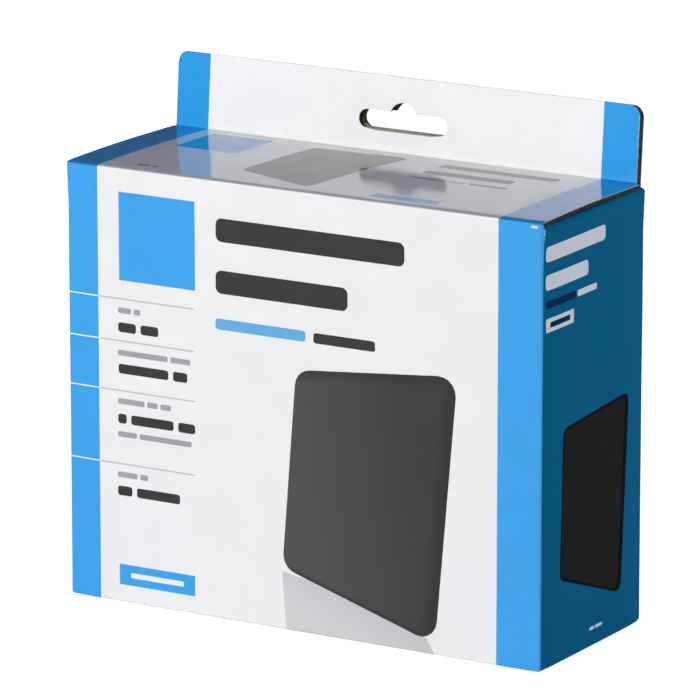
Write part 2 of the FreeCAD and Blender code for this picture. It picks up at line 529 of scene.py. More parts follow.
class Palette:
    """The materials of all finishes of one sheet, in the order of the slots."""

    def __init__(self, board: Board, sheet: str, varnish: Varnish) -> None:
        """Builds every finish.

        Args:
            board: The board that the sheet is cut from.
            sheet: The sheet's name, which the materials' names start with.
            varnish: The varnish over most of its print.
        """
        self.sheet = sheet
        finishes = {**self.plain_inks(varnish), **self.shaded_inks(varnish), **self.bare_board()}
        self.materials = [finishes[finish].material(board) for finish in Finish]

    def name(self, finish: Finish) -> str:
        """The name of a finish's material."""
        return f"{self.sheet}_{finish.name.lower()}"

    def plain_inks(self, varnish: Varnish) -> dict[Finish, PrintedInk]:
        """Makes the inks of one colour.

        Args:
            varnish: The varnish over most of the print.

        Returns:
            The inks by their finish.
        """
        looks = {
            Finish.WHITE: ((0.84, 0.84, 0.842), varnish),
            Finish.BLUE: ((0.022, 0.345, 0.80), varnish),
            Finish.CHARCOAL: ((0.010, 0.010, 0.011), varnish),
            Finish.TOP_PICTURE: ((0.010, 0.010, 0.010), varnish),
            Finish.SKY: ((0.10, 0.40, 0.70), varnish),
            Finish.GREY: ((0.34, 0.345, 0.36), varnish),
            Finish.HAIRLINE: ((0.50, 0.51, 0.53), varnish),
            Finish.DEEP_BLUE: ((0.001, 0.130, 0.275), MATT_VARNISH),
            Finish.PALE: ((0.74, 0.78, 0.80), MATT_VARNISH),
            Finish.NAVY: ((0.001, 0.030, 0.085), MATT_VARNISH),
            Finish.SIDE_PICTURE: ((0.014, 0.014, 0.014), MATT_VARNISH),
            Finish.SIDE_RIM: ((0.002, 0.003, 0.004), MATT_VARNISH),
            # Painted light: the tab's white is brighter than the same paper's white elsewhere, to make up
            # for the bounce light it lacks
            Finish.TAB_WHITE: ((0.925, 0.925, 0.92), SATIN_VARNISH),
            Finish.TAB_BLUE: ((0.018, 0.345, 0.80), SATIN_VARNISH),
        }
        return {finish: PrintedInk(self.name(finish), *look) for finish, look in looks.items()}

    def shaded_inks(self, varnish: Varnish) -> dict[Finish, PrintedInk]:
        """Makes the inks of the pictured panel on the front and of the pale field under it.

        Args:
            varnish: The varnish over them.

        Returns:
            The inks by their finish.
        """
        low_left, low_right, high_right, high_left = PICTURE_PANEL
        picture = PanelInk(
            self.name(Finish.PICTURE),
            (0.047, 0.047, 0.048),
            varnish,
            faded=(0.016, 0.016, 0.017),
            start=(-4.0, 40.0),
            end=(50.0, 48.0),
            edges=(
                PanelEdge(low_right, high_right, width=6.5, strength=1.0),
                PanelEdge(high_right, high_left, width=4.5, strength=0.75),
                PanelEdge(low_left, low_right, width=2.0, strength=0.9),
            ),
        )
        haze = FadingInk(
            self.name(Finish.HAZE),
            (0.56, 0.565, 0.58),
            varnish,
            faded=(0.62, 0.62, 0.63),
            start=(22.0, 13.0),
            end=(18.0, 0.0),
        )
        return {Finish.PICTURE: picture, Finish.HAZE: haze}

    def bare_board(self) -> dict[Finish, Kraft | CutEdge]:
        """Makes the finishes of the board where it has no print.

        Returns:
            The finishes of the inside and of both kinds of cut: the dark one with painted shade for the cuts
            down the sides, and the pale one with painted light for the cuts that face up.
        """
        # A pale copy of the cut edge, lightened as painted light for the cuts that run across the sheet and
        # face up
        lit_cut = CutEdge(
            self.name(Finish.CRUSHED_EDGE),
            coated=(0.85, 0.85, 0.83),
            liner=(0.74, 0.70, 0.60),
            flute=(0.78, 0.74, 0.63),
            hollow_shade=(0.68, 0.65, 0.57),
        )
        return {
            Finish.KRAFT: Kraft(self.name(Finish.KRAFT)),
            Finish.CUT_EDGE: CutEdge(self.name(Finish.CUT_EDGE)),
            Finish.CRUSHED_EDGE: lit_cut,
        }


def on_sheet(across: float, along: float) -> Vector:
    """A point or a direction on the flat sheet."""
    return Vector((across, along, 0.0))


def box_round(points: Iterable[Vector]) -> tuple[Vector, Vector]:
    """The lower left and the upper right corner of the upright rectangle round some points."""
    across, along, _ = zip(*points)
    return on_sheet(min(across), min(along)), on_sheet(max(across), max(along))


def fillet(corner: Vector, first: Vector, second: Vector, radius: float) -> tuple[Vector, list[Vector]]:
    """Fits a round into a corner.

    Args:
        corner: The corner's point.
        first: The direction of one edge, away from the corner.
        second: The direction of the other edge, away from the corner.
        radius: The radius.

    Returns:
        The round's centre, and the two points where it touches the edges.
    """
    edges = [first.normalized(), second.normalized()]
    half = edges[0].angle(edges[1]) / 2
    centre = corner + (edges[0] + edges[1]).normalized() * (radius / math.sin(half))
    return centre, [corner + edge * (radius / math.tan(half)) for edge in edges]


def spread(start: float, length: float, count: int) -> list[float]:
    """Evenly spaced values over a length, with both of its ends."""
    return [start + length * part / count for part in range(count + 1)]


def graded(stops: Iterable[float], step: float) -> list[float]:
    """Spaces the lines of a grid.

    Args:
        stops: Where there has to be a line.
        step: How far apart two lines may be.

    Returns:
        The lines, in order.
    """
    ordered = sorted(set(stops))
    lines = ordered[:1]
    for low, high in zip(ordered, ordered[1:]):
        if high - low > SNAP:
            lines += spread(low, high - low, math.ceil((high - low) / step))[1:]
    return lines


def bell(distance: float, width: float) -> float:
    """1 at no distance, about a third at the width, and soon 0 beyond it."""
    return math.exp(-((distance / width) ** 2))


def ease(value: float, start: float, end: float) -> float:
    """0 before start, 1 after end, and smooth between them."""
    share = min(1.0, max(0.0, (value - start) / (end - start)))
    return share * share * (3 - 2 * share)


def nowhere(across: float, along: float) -> float:
    """A measure that is 0 all over a sheet."""
    return 0.0


def unevenness(place: Vector, waves: float = 34.0, ripples: float = 90.0, share: float = 0.4) -> float:
    """How far the board gives way at a place, mostly from 0 to 1, in long waves with ripples on them."""
    wave = noise.noise(place * waves) + share * noise.noise(place * ripples)
    return 0.5 + 0.5 * wave


def head_crush(along: float, head: float, share: float = 0.55, reach: float = 3 * MM) -> float:
    """The share of the board's thickness that the die has pressed out near the head of a tab."""
    return share * ease(along, head - reach, head)


@dataclass(frozen=True)
class Rub:
    """Rubbing along an edge, which round the rear slot also stands for painted shade: how strong it is there
    and how far it reaches, in metres.
    """

    strength: float
    reach: float

    def at(self, distance: float) -> float:
        """How far the print is rubbed at that distance from the edge."""
        return self.strength * bell(distance, self.reach)


@dataclass(frozen=True)
class Mark:
    """A rubbed spot: its middle on the flat sheet, its reach across and along, and its strength."""

    across: float
    along: float
    width: float
    length: float
    strength: float

    def at(self, across: float, along: float) -> float:
        """How far the print is rubbed at a place."""
        return self.strength * bell(across - self.across, self.width) * bell(along - self.along, self.length)


@dataclass(frozen=True)
class Field:
    """One printed field: a convex outline, counter-clockwise on its panel, in millimetres."""

    finish: Finish
    outline: tuple[Point, ...]
    corner: float = 0.0

    @classmethod
    def bar(
        cls, finish: Finish, left: float, right: float, low: float, high: float, corner: float = 0.0
    ) -> "Field":
        """An upright rectangle, with its corners rounded by that radius."""
        return cls(finish, ((left, low), (right, low), (right, high), (left, high)), corner)

    def fields(self) -> list["Field"]:
        """The field itself, as the only one."""
        return [self]

    def rounded(self, steps: int = 5) -> list[Vector]:
        """Rounds the outline's corners.

        Args:
            steps: How many straight parts make each round.

        Returns:
            The points of the rounded outline, in millimetres.
        """
        points = [on_sheet(*point) for point in self.outline]
        if not self.corner:
            return points
        made = []
        for before, here, after in zip(points[-1:] + points[:-1], points, points[1:] + points[:1]):
            centre, touches = fillet(here, before - here, after - here, self.corner)
            start, end = (touch - centre for touch in touches)
            made += [centre + start.slerp(end, part) * self.corner for part in spread(0.0, 1.0, steps)]
        return made


@dataclass(frozen=True)
class PrintLine:
    """A row of plain bars that stands in for a line of print, in millimetres.

    The shares are the bars' lengths in relation to each other. The gap between bars and the
    corner of a bar are parts of the line's height.
    """

    finish: Finish
    left: float
    right: float
    low: float
    high: float
    shares: tuple[int, ...] = (1,)
    gap: float = 0.55
    corner: float = 0.28

    def fields(self) -> list[Field]:
        """Makes the bars.

        Returns:
            One field for each bar, from the left.
        """
        height = self.high - self.low
        gap = self.gap * height
        room = self.right - self.left - gap * (len(self.shares) - 1)
        start = self.left
        bars = []
        for share in self.shares:
            end = start + room * share / sum(self.shares)
            bars.append(Field.bar(self.finish, start, end, self.low, self.high, self.corner * height))
            start = end + gap
        return bars


@dataclass(frozen=True)
class CartonSizes:
    """The carton's driving sizes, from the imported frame, in metres."""

    half_width: float
    front: float
    back: float
    height: float
    hinge: float
    board: float
    lean: float
    head: float
    front_head: float
    fold: float = 1.2 * MM
    crease: float = 0.5 * MM
    lid_roll: float = 0.16 * MM
    lid_board: float = 1.25 * MM
    tab_inset: float = 1.9 * MM
    tab_corner: float = 3.8 * MM
    rear_drop: float = 0.4 * MM
    shoulder_lap: float = 0.05 * MM

    @classmethod
    def from_frame(cls, frame: dict) -> "CartonSizes":
        """Reads the sizes from the boxes of the CAD nodes and from the lid's hinge.

        Args:
            frame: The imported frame.

        Returns:
            The sizes.
        """
        low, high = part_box("carton")
        lid_low, lid_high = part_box("lid_flap")
        hinge = Vector(frame["joints"][0]["pos_m"])
        back = -low.y
        return cls(
            half_width=high.x,
            front=low.y,
            back=back,
            height=hinge.z,
            hinge=hinge.y,
            board=hinge.z - lid_low.z,
            lean=math.atan2(high.y - back, high.z - hinge.z),
            head=high.z,
            front_head=lid_high.z,
        )

    @property
    def tab_half(self) -> float:
        """Half the tab's width."""
        return self.half_width - self.tab_inset

    @property
    def rear_head(self) -> float:
        """The level of the head of the tab's rear layer."""
        return self.head - self.rear_drop

    @property
    def shoulder(self) -> float:
        """The level of the dust flaps, close under the lid."""
        return self.height - self.board + self.shoulder_lap

    @property
    def lid_foot(self) -> float:
        """The level where the front panel ends and the lid's crease starts."""
        return self.height - self.lid_roll - self.crease

    @property
    def up_tab(self) -> Vector:
        """The direction up along the leaning tab."""
        return Vector((0.0, math.sin(self.lean), math.cos(self.lean)))


@dataclass(frozen=True)
class HangerSlot:
    """The slot for a display hook, with a round rise for a single peg, in metres."""

    width: float = 32 * MM
    height: float = 6 * MM
    corner: float = 2.9 * MM
    above_lid: float = 9.9 * MM
    rise_radius: float = 5 * MM
    rise_above_lid: float = 11.1 * MM
    corner_steps: int = 8
    rise_steps: int = 16

    def gap(self, across: float, above: float) -> float:
        """Measures how far a place is from the slot.

        Args:
            across: The place across the tab, from the slot's middle.
            above: The place up the tab, from the lid.

        Returns:
            The distance, and 0 inside the slot.
        """
        beside = max(0.0, abs(across) - (self.width - self.height) / 2)
        wide = math.hypot(beside, above - self.above_lid) - self.height / 2
        rise = math.hypot(across, above - self.rise_above_lid) - self.rise_radius
        return max(0.0, min(wide, rise))

    def outlines(self, middle: float, lid: float) -> list[list[Vector]]:
        """Draws the convex outlines that make the slot.

        Args:
            middle: Where the slot's middle is across the sheet.
            lid: Where the lid's surface is along the sheet.

        Returns:
            The outline of the wide slot, and of the rise above it.
        """
        centre = lid + self.above_lid
        wide = Field.bar(
            Finish.CUT_EDGE,
            (middle - self.width / 2) / MM,
            (middle + self.width / 2) / MM,
            (centre - self.height / 2) / MM,
            (centre + self.height / 2) / MM,
            self.corner / MM,
        )
        hub = on_sheet(middle, lid + self.rise_above_lid)
        dip = math.asin((hub.y - centre) / self.rise_radius)
        angles = spread(-dip, math.pi + 2 * dip, self.rise_steps)
        rise = [hub + on_sheet(math.cos(angle), math.sin(angle)) * self.rise_radius for angle in angles]
        return [[point * MM for point in wide.rounded(self.corner_steps)], rise]


class FlatSheet:
    """A sheet of board laid out flat, to be printed and cut first, then folded and thickened."""

    cross_cut: float = 3.0
    sharp_angle: float = 0.6

    def __init__(self, name: str, columns: list[float], rows: list[float]) -> None:
        """Lays the sheet out as a grid.

        Args:
            name: The piece's name.
            columns: Where the grid has its lines across the sheet.
            rows: Where it has them along the sheet.
        """
        self.name = name
        self.bm: BMesh = bmesh.new()
        across, along = len(columns) - 1, len(rows) - 1
        bmesh.ops.create_grid(self.bm, x_segments=across, y_segments=along, size=0.5)
        for vert in self.bm.verts:
            column = round((vert.co.x + 0.5) * across)
            row = round((vert.co.y + 0.5) * along)
            vert.co = on_sheet(columns[column], rows[row])

    def keep(self, wanted: Callable[[float, float], bool]) -> None:
        """Removes the faces whose middle isn't wanted."""
        waste = [face for face in self.bm.faces if not wanted(*face.calc_center_median().xy)]
        bmesh.ops.delete(self.bm, geom=waste, context="FACES")

    def inked(self, finish: Callable[[float, float], Finish]) -> None:
        """Gives every face the finish for its middle."""
        for face in self.bm.faces:
            face.material_index = finish(*face.calc_center_median().xy)

    def within(self, low: Vector, high: Vector) -> list[BMFace]:
        """Finds the faces that reach into an upright rectangle.

        Args:
            low: The rectangle's lower left corner.
            high: Its upper right corner.

        Returns:
            The faces.
        """
        found = []
        for face in self.bm.faces:
            xs = [vert.co.x for vert in face.verts]
            ys = [vert.co.y for vert in face.verts]
            if min(xs) < high.x and max(xs) > low.x and min(ys) < high.y and max(ys) > low.y:
                found.append(face)
        return found

    def cut(
        self, faces: list[BMFace], point: Vector, outward: Vector, drop: bool = False
    ) -> list[BMFace]:
        """Cuts the faces along a straight line.

        Args:
            faces: The faces to cut. The others stay whole.
            point: A point of the line.
            outward: The direction square to the line.
            drop: Whether the part on the outward side is removed.

        Returns:
            The faces on the inward side.
        """
        edges = dict.fromkeys(edge for face in faces for edge in face.edges)
        verts = dict.fromkeys(vert for face in faces for vert in face.verts)
        made = bmesh.ops.bisect_plane(
            self.bm,
            geom=[*verts, *edges, *faces],
            dist=SNAP,
            plane_co=point,
            plane_no=outward,
            clear_outer=drop,
        )
        kept = [part for part in made["geom"] if isinstance(part, BMFace) and part.is_valid]
        return [face for face in kept if (face.calc_center_median() - point).dot(outward) < 0]

    def inside_of(self, outline: list[Vector]) -> list[BMFace]:
        """Cuts the sheet along an outline.

        Args:
            outline: The convex outline, counter-clockwise.

        Returns:
            The faces inside it.
        """
        faces = self.within(*box_round(outline))
        for start, end in zip(outline, outline[1:] + outline[:1]):
            along = end - start
            if along.length > SNAP:
                faces = self.cut(faces, start, on_sheet(along.y, -along.x).normalized())
        return faces

    def print_fields(self, fields: list[Field], shift: Vector) -> None:
        """Prints fields on a panel.

        Args:
            fields: The fields, the later ones over the earlier ones.
            shift: Where the panel's own zero point is on the sheet.
        """
        for printed in fields:
            outline = [point * MM + shift for point in printed.rounded()]
            for face in self.inside_of(outline):
                face.material_index = printed.finish

    def punch(self, outline: list[Vector]) -> None:
        """Punches a hole of that outline."""
        bmesh.ops.delete(self.bm, geom=self.inside_of(outline), context="FACES")

    def trim(self, outline: list[Vector]) -> None:
        """Removes all that lies outside of an outline.

        Args:
            outline: The convex outline, counter-clockwise.
        """
        kept = set(self.inside_of(outline))
        waste = [face for face in self.bm.faces if face not in kept]
        bmesh.ops.delete(self.bm, geom=waste, context="FACES")

    def round_corner(
        self, corner: Vector, first: Vector, second: Vector, radius: float, steps: int = 7
    ) -> None:
        """Rounds a corner of the sheet.

        Args:
            corner: The corner's point.
            first: The direction of one edge, away from the corner.
            second: The direction of the other edge, away from the corner.
            radius: The radius.
            steps: How many straight cuts make the round.
        """
        centre, touches = fillet(corner, first, second, radius)
        low, high = box_round((corner, *touches))
        start, end = (touch - centre for touch in touches)
        for step in range(1, steps + 1):
            outward = start.slerp(end, step / (steps + 1)).normalized()
            self.cut(self.within(low, high), centre + outward * radius, outward, drop=True)

    def round_tab(self, left: float, right: float, head: float, radius: float) -> None:
        """Rounds both corners at the head of the tab.

        Args:
            left: The tab's edge with the smaller place across the sheet.
            right: Its other edge.
            head: Where the tab ends along the sheet.
            radius: The radius.
        """
        for edge, inward in ((left, 1.0), (right, -1.0)):
            self.round_corner(on_sheet(edge, head), on_sheet(inward, 0.0), on_sheet(0.0, -1.0), radius)

    def fold_up(self, place: Placing, wear: Measure) -> None:
        """Folds the sheet.

        Args:
            place: Where a point across and along the sheet goes.
            wear: How far the print is rubbed there, from 0 to 1, which also sets the kraft's painted shade.
        """
        flat = self.bm.verts.layers.float_vector.new("flat")
        wear_and_shade_level = self.bm.verts.layers.float.new("wear")
        # The measure is kept on each vertex; the kraft turns it into painted shade
        for vert in self.bm.verts:
            across, along = vert.co.xy
            vert[flat] = (across, along, 0.0)
            vert[wear_and_shade_level] = wear(across, along)
            vert.co = place(across, along)
        self.bm.normal_update()

    def thicken(self, thickness: float, crush: Measure = nowhere) -> None:
        """Gives the folded sheet its thickness on the unprinted side.

        Args:
            thickness: The board's thickness.
            crush: The share of it that the die has pressed out of a cut edge, by the place on the sheet.
        """
        outside = set(self.bm.faces)
        printed = set(self.bm.verts)
        bmesh.ops.solidify(self.bm, geom=self.bm.faces[:], thickness=thickness)
        flat = self.bm.verts.layers.float_vector["flat"]
        for vert in self.bm.verts:
            if vert in printed:
                continue
            across, along, _ = vert[flat]
            vert[flat] = (across, along, 1.0)
            for edge in vert.link_edges:
                rim = edge.other_vert(vert)
                if rim in printed:
                    vert.co = vert.co.lerp(rim.co, crush(across, along))
        self.finish_cuts(outside, printed)

    def finish_cuts(self, outside: set[BMFace], printed: set[BMVert]) -> None:
        """Finishes the inside and the cuts of a thickened sheet, and keeps the cuts' edges sharp.

        Args:
            outside: The printed faces.
            printed: The printed faces' vertices.
        """
        flat = self.bm.verts.layers.float_vector["flat"]
        for face in self.bm.faces:
            face.smooth = True
            if face in outside:
                continue
            face.material_index = Finish.KRAFT
            if any(vert in printed for vert in face.verts):
                low, high = box_round(vert[flat] for vert in face.verts)
                crosses = high.x - low.x > self.cross_cut * (high.y - low.y)
                # Cuts across the sheet face up or down and get the pale copy with painted light; the rest
                # get the dark copy with painted shade
                face.material_index = Finish.CRUSHED_EDGE if crosses else Finish.CUT_EDGE
        for edge in self.bm.edges:
            cuts = [face.material_index >= Finish.CUT_EDGE for face in edge.link_faces]
            if any(cuts) and (not all(cuts) or edge.calc_face_angle(0.0) > self.sharp_angle):
                edge.smooth = False

    def finish(self, palette: Palette) -> bpy.types.Object:
        """Turns the sheet into an object.

        Args:
            palette: The materials.

        Returns:
            The object.
        """
        mesh = bpy.data.meshes.new(self.name)
        self.bm.to_mesh(mesh)
        self.bm.free()
        for material in palette.materials:
            mesh.materials.append(material)
        piece = bpy.data.objects.new(self.name, mesh)
        bpy.context.scene.collection.objects.link(piece)
        return piece


@dataclass(frozen=True)
class PanelPrint:
    """The print on one panel, in millimetres: the later items over the earlier ones."""

    items: tuple[Field | PrintLine, ...] = ()

    def fields(self) -> list[Field]:
        """All fields, in the order of printing."""
        return [part for item in self.items for part in item.fields()]


@dataclass(frozen=True)
class FrontPrint(PanelPrint):
    """The print on the front panel: X across and Z up."""

    left_band: float = -73.7
    right_band: float = 70.1
    rules: tuple[float, ...] = (99.0, 85.4, 69.3, 45.5)
    rule_height: float = 0.42
    rule_start: float = -85.6
    rule_end: float = -38.3
    heading: PanelPrint = PanelPrint(
        (
            Field.bar(Finish.BLUE, -65.9, -37.9, 105.0, 133.4),
            PrintLine(Finish.CHARCOAL, -30.3, 37.3, 121.7, 129.2),
            PrintLine(Finish.CHARCOAL, -30.4, 17.2, 105.2, 112.6),
            PrintLine(Finish.SKY, -30.5, 2.1, 93.7, 97.2),
            PrintLine(Finish.CHARCOAL, 4.9, 27.0, 93.7, 97.0),
        )
    )
    items: tuple[Field | PrintLine, ...] = (
        PrintLine(Finish.GREY, -66.4, -58.2, 94.4, 96.2, (2, 1)),
        PrintLine(Finish.CHARCOAL, -66.4, -51.6, 88.3, 91.4, (1, 1)),
        PrintLine(Finish.GREY, -66.5, -39.9, 80.7, 82.5, (10, 4)),
        PrintLine(Finish.CHARCOAL, -66.4, -41.0, 74.9, 78.0, (7, 2)),
        PrintLine(Finish.GREY, -66.7, -47.1, 65.0, 66.8, (5, 2, 2)),
        PrintLine(Finish.CHARCOAL, -66.7, -38.2, 58.7, 61.8, (1, 5, 2)),
        PrintLine(Finish.GREY, -66.8, -39.5, 54.3, 56.1, (4, 11)),
        PrintLine(Finish.GREY, -67.0, -55.8, 41.1, 42.9, (5, 2)),
        PrintLine(Finish.CHARCOAL, -67.0, -43.9, 35.2, 38.3, (2, 6)),
        Field.bar(Finish.BLUE, -66.6, -38.5, 6.0, 12.7),
        PrintLine(Finish.WHITE, -62.4, -42.7, 8.5, 10.2),
        Field(Finish.HAZE, ((-5.0, -0.3), (48.7, -0.1), (45.4, 5.2), (28.9, 13.2), (-6.5, 19.1))),
        Field(Finish.PICTURE, PICTURE_PANEL, 5.8),
    )

    def fields(self) -> list[Field]:
        """Makes all fields: the heading, the rules and the rest.

        Returns:
            The fields, in the order of printing.
        """
        ruled = []
        for level in self.rules:
            low, high = level - self.rule_height / 2, level + self.rule_height / 2
            ruled.append(Field.bar(Finish.WHITE, self.rule_start, self.left_band, low, high))
            ruled.append(Field.bar(Finish.HAIRLINE, self.left_band, self.rule_end, low, high))
        return self.heading.fields() + ruled + super().fields()


# The right panel: Y across and Z up
SIDE_PRINT = PanelPrint(
    (
        PrintLine(Finish.PALE, -30.4, 6.7, 128.3, 133.1),
        PrintLine(Finish.PALE, -30.3, -4.1, 119.5, 124.3),
        PrintLine(Finish.NAVY, -30.1, -11.9, 113.8, 116.2),
        PrintLine(Finish.PALE, -10.9, 1.4, 113.9, 115.9),
        Field.bar(Finish.PALE, -30.0, -13.1, 106.4, 110.7),
        PrintLine(Finish.NAVY, -27.6, -15.4, 107.7, 109.4),
        Field(Finish.SIDE_RIM, ((-20.6, 26.6), (18.7, 12.9), (23.0, 76.9), (-19.1, 74.1)), 3.0),
        Field(Finish.SIDE_PICTURE, ((-19.9, 27.4), (16.4, 14.6), (20.6, 75.8), (-18.4, 73.3)), 2.4),
        PrintLine(Finish.PALE, -1.3, 6.6, 5.6, 6.6, (2, 3)),
    )
)

# The lid's top: X across and Y to the back
TOP_PRINT = PanelPrint(
    (
        Field.bar(Finish.BLUE, -66.4, -43.6, 1.4, 24.4),
        PrintLine(Finish.GREY, -62.9, -55.5, -26.8, -25.2, (2, 1)),
        Field(Finish.TOP_PICTURE, ((-30.5, -17.0), (-0.9, -26.6), (5.8, 24.8), (-27.9, 22.6)), 2.5),
        PrintLine(Finish.CHARCOAL, 19.9, 61.6, 17.4, 22.2),
        PrintLine(Finish.CHARCOAL, 19.8, 51.3, 7.2, 11.9),
        PrintLine(Finish.HAIRLINE, 19.7, 39.3, 0.1, 2.3),
        PrintLine(Finish.CHARCOAL, 40.7, 54.0, 0.1, 2.1),
        Field.bar(Finish.BLUE, 21.8, 45.3, -28.0, -23.3),
    )
)


@dataclass
class CartonWrap:
    """The four panels with their folds, the dust flaps, the bottom and the tab's rear layer.

    Sizes are in metres, top_insets are in millimetres, and each share is a part of a fold's bend.
    """

    sizes: CartonSizes
    slot: HangerSlot
    front_print: FrontPrint
    side_print: PanelPrint = SIDE_PRINT
    grid: float = 4.5 * MM
    top_insets: tuple[float, ...] = (0.6, 1.2, 1.8, 2.5, 3.4, 4.5, 6.0)
    soft_fold: float = 0.30 * MM
    soft_reach: float = 5.0 * MM
    waviness: float = 0.12 * MM
    stiff_foot: float = 10 * MM
    stiff_head: float = 16 * MM
    blunt: float = 4.2 * MM
    blunt_fade: Span = (16 * MM, 4 * MM)
    dust_length: float = 42 * MM
    dust_slit: float = 0.3 * MM
    dust_taper: float = 6 * MM
    dust_corner: float = 3 * MM
    joint: float = 0.2 * MM
    seam_inset: float = 0.5 * MM
    tongue_half: float = 18 * MM
    tongue_reach: float = 12 * MM
    rear_slot_shift: float = 1.0 * MM
    lid_share: float = 0.67
    blue_share: float = 0.85
    foot_share: float = 0.2
    top_share: float = 0.45
    notch_share: float = 0.34
    fold_rub: Rub = Rub(0.08, 1.3 * MM)
    fold_hard: float = 0.5 * MM
    foot_rub: Rub = Rub(0.14, 7 * MM)
    top_rub: Rub = Rub(0.14, 6 * MM)
    base_rub: Rub = Rub(0.12, 1.0 * MM)
    # Round the rear slot: rubbed print outside, and painted shade on the kraft inside
    slot_shade_rub: Rub = Rub(0.75, 2.4 * MM)
    slot_shade_start: Span = (-3.0 * MM, -1.5 * MM)

    def __post_init__(self) -> None:
        """Works out places on the flat sheet: across from the front's middle, along from the base."""
        s = self.sizes
        self.bend = QUARTER * s.fold
        self.half = s.half_width - s.fold
        self.panel_depth = s.back - s.front - 2 * s.fold
        self.side_start = self.half + self.bend
        self.side_end = self.side_start + self.panel_depth
        self.back_start = self.side_end + self.bend
        self.back_middle = self.back_start + self.half
        self.back_end = self.back_start + 2 * self.half
        self.seam = self.side_end - self.seam_inset
        self.base_bend = s.fold - self.bend
        self.base_middle = self.base_bend - self.panel_depth / 2
        self.top_bend = s.shoulder - s.fold
        self.dust_start = self.top_bend + self.bend
        self.dust_end = self.dust_start + self.dust_length - s.fold
        self.front_top = s.lid_foot
        self.corner_end = self.half + self.lid_share * self.bend
        self.tab_end = s.height + (s.rear_head - s.height) / math.cos(s.lean) - s.board * math.tan(s.lean)
        self.crack = Mark(
            across=self.side_start - 0.1 * MM,
            along=137.2 * MM,
            width=0.30 * MM,
            length=2.0 * MM,
            strength=0.6,
        )
        self.scuff = Mark(
            across=82.4 * MM,
            along=self.front_top - 0.7 * MM,
            width=1.3 * MM,
            length=0.75 * MM,
            strength=0.72,
        )

    def in_fold(self, side: float, centre: Point, turn: float) -> tuple[Vector, Vector]:
        """Finds a point of an upright fold, seen from above.

        Args:
            side: 1 on the right of the front and -1 on its left.
            centre: The fold's centre.
            turn: How far the sheet has turned there, from the front.

        Returns:
            The point and the outward direction, both level.
        """
        out = Vector((side * math.sin(turn), -math.cos(turn), 0.0))
        return Vector((*centre, 0.0)) + out * self.sizes.fold, out

    def around(self, across: float) -> tuple[Vector, Vector]:
        """Finds a point of the carton's outline, seen from above.

        Args:
            across: The place across the flat sheet, from the middle of the front.

        Returns:
            The point and the outward direction, both level.
        """
        s = self.sizes
        side = math.copysign(1.0, across)
        gone = abs(across)
        near, far = s.front + s.fold, s.back - s.fold
        if gone <= self.half:
            return Vector((across, s.front, 0.0)), Vector((0.0, -1.0, 0.0))
        if gone <= self.side_start:
            return self.in_fold(side, (side * self.half, near), (gone - self.half) / s.fold)
        if gone <= self.side_end:
            point = Vector((side * s.half_width, near + gone - self.side_start, 0.0))
            return point, Vector((side, 0.0, 0.0))
        if gone <= self.back_start:
            turn = QUARTER + (gone - self.side_end) / s.fold
            return self.in_fold(side, (side * self.half, far), turn)
        if gone <= self.back_end:
            point = Vector((side * (self.half - gone + self.back_start), s.back, 0.0))
            return point, Vector((0.0, 1.0, 0.0))
        turn = 2 * QUARTER + (gone - self.back_end) / s.fold
        return self.in_fold(side, (-side * self.half, far), turn)

    def panel_spans(self) -> list[Span]:
        """The flat panels: left, front, right and back, from fold to fold."""
        return [
            (-self.seam, -self.side_start),
            (-self.half, self.half),
            (self.side_start, self.side_end),
            (self.back_start, self.back_end),
        ]

    def fold_gap(self, across: float) -> float:
        """Measures how far a place is from the nearest upright fold.

        Args:
            across: The place across the flat sheet.

        Returns:
            The distance, and 0 in a fold.
        """
        for start, end in self.panel_spans():
            if start <= across <= end:
                return min(across - start, end - across)
        return 0.0

    def stands_straight(self, across: float) -> bool:
        """Whether the sheet runs on upwards there, as the front and the back do."""
        return abs(across) < self.corner_end + SNAP or self.on_back(across)

    def on_back(self, across: float) -> bool:
        """Whether a place across the sheet is on the back panel."""
        return self.back_start - SNAP < across < self.back_end + SNAP

    def place(self, across: float, along: float) -> Vector:
        """Finds where a point of the flat sheet lies on the folded carton.

        Args:
            across: The point's place across the sheet.
            along: Its place along the sheet.

        Returns:
            The point in space.
        """
        s = self.sizes
        point, out = self.around(across)
        inward, level = 0.0, along
        if along < s.fold:
            turn = min((s.fold - along) / s.fold, QUARTER)
            inward = s.fold * (1 - math.cos(turn)) + max(0.0, self.base_bend - along)
            level = s.fold * (1 - math.sin(turn))
        elif along > self.top_bend and not self.stands_straight(across):
            turn = min((along - self.top_bend) / s.fold, QUARTER)
            inward = s.fold * (1 - math.cos(turn)) + max(0.0, along - self.dust_start)
            level = self.top_bend + s.fold * math.sin(turn)
        settled = 1 - ease(along, self.front_top - self.stiff_head, self.front_top)
        upright = ease(along, s.fold, s.fold + self.stiff_foot)
        inward += self.soft_fold * settled * bell(self.fold_gap(across), self.soft_reach)
        place = point - out * inward + Vector((0.0, 0.0, level))
        place -= out * (self.waviness * settled * upright * unevenness(place))
        if along > s.height and self.on_back(across):
            lift = along - s.height
            place += s.up_tab * lift - Vector((0.0, 0.0, lift))
        return place + self.blunting(place)

    def blunting(self, place: Vector) -> Vector:
        """Pushes in the corner at the rear of the base, on the right.

        Args:
            place: A point of the carton.

        Returns:
            How far the point moves.
        """
        s = self.sizes
        off = place - Vector((place.x, s.back - self.blunt, self.blunt))
        if off.y < 0 or off.z > 0 or off.length <= self.blunt:
            return Vector()
        start, end = (s.half_width - inset for inset in self.blunt_fade)
        return off * (ease(place.x, start, end) * (self.blunt / off.length - 1))

